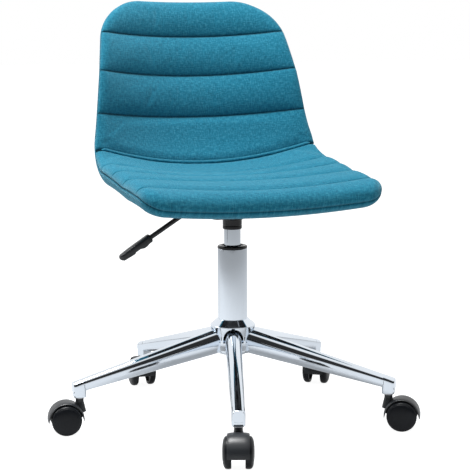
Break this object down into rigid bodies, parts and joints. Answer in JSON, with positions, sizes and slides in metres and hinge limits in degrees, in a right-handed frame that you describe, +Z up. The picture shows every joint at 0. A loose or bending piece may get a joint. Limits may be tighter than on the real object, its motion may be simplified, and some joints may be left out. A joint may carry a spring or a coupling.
{
  "type": "swivel office chair",
  "caption": "Armless swivel office chair: channelled upholstered shell seat on a gas lift, over a chromed star base with twin-wheel casters.",
  "frame": {"origin": "middle of the chair's footprint, on the floor", "axes": "+Z up; the sitter faces -Y; +X is the sitter's left"},
  "size_m": [0.5924, 0.6189, 0.7122],
  "materials": {
    "chrome": "polished chrome plate",
    "zinc_steel": "zinc plated",
    "black_steel": "black powder coat",
    "black_plastic": "satin moulded nylon",
    "wheel_nylon": "smooth moulded nylon",
    "rubber": "matt",
    "plywood": "bare moulded plywood",
    "fabric": "woven melange upholstery over foam"
  },
  "bodies": {
    "base": {"base_hub": "chrome", "base_arm_1": "chrome", "base_arm_2": "chrome", "base_arm_3": "chrome", "base_arm_4": "chrome", "base_arm_5": "chrome", "caster_socket_1": "chrome", "caster_socket_2": "chrome", "caster_socket_3": "chrome", "caster_socket_4": "chrome", "caster_socket_5": "chrome", "caster_stem_1": "zinc_steel", "caster_stem_2": "zinc_steel", "caster_stem_3": "zinc_steel", "caster_stem_4": "zinc_steel", "caster_stem_5": "zinc_steel", "column_tube": "chrome", "guide_sleeve": "black_plastic", "thrust_bearing_lower": "zinc_steel"},
    "piston": {"piston_rod": "zinc_steel", "thrust_bearing_upper": "zinc_steel", "bump_stop": "rubber", "retaining_clip": "zinc_steel"},
    "seat": {"gas_cylinder": "chrome", "lift_socket": "black_steel", "mechanism_box": "black_steel", "seat_plate": "black_steel", "lever_pivot_pin": "zinc_steel", "seat_bolt_1": "zinc_steel", "seat_bolt_2": "zinc_steel", "seat_bolt_3": "zinc_steel", "seat_bolt_4": "zinc_steel", "seat_shell": "plywood", "seat_pad": "fabric", "back_pad": "fabric", "rear_cover": "fabric"},
    "lever": {"height_lever": "black_steel", "lever_grip": "black_plastic"},
    "release": {"release_pin": "zinc_steel"},
    "caster_1": {"caster_housing_1": "black_plastic", "caster_axle_1": "zinc_steel"},
    "wheel_1a": {"caster_wheel_1a": "wheel_nylon"},
    "wheel_1b": {"caster_wheel_1b": "wheel_nylon"},
    "caster_2": {"caster_housing_2": "black_plastic", "caster_axle_2": "zinc_steel"},
    "wheel_2a": {"caster_wheel_2a": "wheel_nylon"},
    "wheel_2b": {"caster_wheel_2b": "wheel_nylon"},
    "caster_3": {"caster_housing_3": "black_plastic", "caster_axle_3": "zinc_steel"},
    "wheel_3a": {"caster_wheel_3a": "wheel_nylon"},
    "wheel_3b": {"caster_wheel_3b": "wheel_nylon"},
    "caster_4": {"caster_housing_4": "black_plastic", "caster_axle_4": "zinc_steel"},
    "wheel_4a": {"caster_wheel_4a": "wheel_nylon"},
    "wheel_4b": {"caster_wheel_4b": "wheel_nylon"},
    "caster_5": {"caster_housing_5": "black_plastic", "caster_axle_5": "zinc_steel"},
    "wheel_5a": {"caster_wheel_5a": "wheel_nylon"},
    "wheel_5b": {"caster_wheel_5b": "wheel_nylon"}
  },
  "joints": [
    {"name": "seat_swivel", "type": "hinge", "parent": "base", "child": "piston", "pos_m": [0.0267, 0.0001, 0.116], "axis": [0, 0, 1], "continuous": true},
    {"name": "seat_height", "type": "slide", "parent": "piston", "child": "seat", "axis": [0, 0, 1], "range_m": [0, 0.1]},
    {"name": "lever_lift", "type": "hinge", "parent": "seat", "child": "lever", "pos_m": [-0.0033, 0.0001, 0.359], "axis": [0, 1, 0], "range_deg": [0, 6], "stiffness_Nm_per_rad": 0.6, "springref_deg": -11.46},
    {"name": "release_press", "type": "slide", "parent": "seat", "child": "release", "axis": [0, 0, -1], "range_m": [0, 0.0036]},
    {"name": "caster_swivel_1", "type": "hinge", "parent": "base", "child": "caster_1", "pos_m": [-0.05888, -0.25419, 0.055], "axis": [0, 0, 1], "continuous": true},
    {"name": "wheel_spin_1a", "type": "hinge", "parent": "caster_1", "child": "wheel_1a", "pos_m": [-0.06709, -0.27546, 0.025], "axis": [0.933, -0.36, 0], "continuous": true},
    {"name": "wheel_spin_1b", "type": "hinge", "parent": "caster_1", "child": "wheel_1b", "pos_m": [-0.06709, -0.27546, 0.025], "axis": [0.933, -0.36, 0], "continuous": true},
    {"name": "caster_swivel_2", "type": "hinge", "parent": "base", "child": "caster_2", "pos_m": [0.2421, -0.15987, 0.055], "axis": [0, 0, 1], "continuous": true},
    {"name": "wheel_spin_2a", "type": "hinge", "parent": "caster_2", "child": "wheel_2a", "pos_m": [0.26178, -0.17137, 0.025], "axis": [0.5045, 0.8634, 0], "continuous": true},
    {"name": "wheel_spin_2b", "type": "hinge", "parent": "caster_2", "child": "wheel_2b", "pos_m": [0.26178, -0.17137, 0.025], "axis": [0.5045, 0.8634, 0], "continuous": true},
    {"name": "caster_swivel_3", "type": "hinge", "parent": "base", "child": "caster_3", "pos_m": [0.2454, 0.15552, 0.055], "axis": [0, 0, 1], "continuous": true},
    {"name": "wheel_spin_3a", "type": "hinge", "parent": "caster_3", "child": "wheel_3a", "pos_m": [0.25857, 0.17413, 0.025], "axis": [-0.8161, 0.5779, 0], "continuous": true},
    {"name": "wheel_spin_3b", "type": "hinge", "parent": "caster_3", "child": "wheel_3b", "pos_m": [0.25857, 0.17413, 0.025], "axis": [-0.8161, 0.5779, 0], "continuous": true},
    {"name": "caster_swivel_4", "type": "hinge", "parent": "base", "child": "caster_4", "pos_m": [-0.05353, 0.25612, 0.055], "axis": [0, 0, 1], "continuous": true},
    {"name": "wheel_spin_4a", "type": "hinge", "parent": "caster_4", "child": "wheel_4a", "pos_m": [-0.05262, 0.2789, 0.025], "axis": [-0.9992, 0.0401, 0], "continuous": true},
    {"name": "wheel_spin_4b", "type": "hinge", "parent": "caster_4", "child": "wheel_4b", "pos_m": [-0.05262, 0.2789, 0.025], "axis": [-0.9992, 0.0401, 0], "continuous": true},
    {"name": "caster_swivel_5", "type": "hinge", "parent": "base", "child": "caster_5", "pos_m": [-0.24158, 0.00291, 0.055], "axis": [0, 0, 1], "continuous": true},
    {"name": "wheel_spin_5a", "type": "hinge", "parent": "caster_5", "child": "wheel_5a", "pos_m": [-0.26415, 0.0062, 0.025], "axis": [-0.1444, -0.9895, 0], "continuous": true},
    {"name": "wheel_spin_5b", "type": "hinge", "parent": "caster_5", "child": "wheel_5b", "pos_m": [-0.26415, 0.0062, 0.025], "axis": [-0.1444, -0.9895, 0], "continuous": true}
  ],
  "couplings": [
    {"joint": "release_press", "follows": "lever_lift", "m_per_rad": 0.0343}
  ]
}
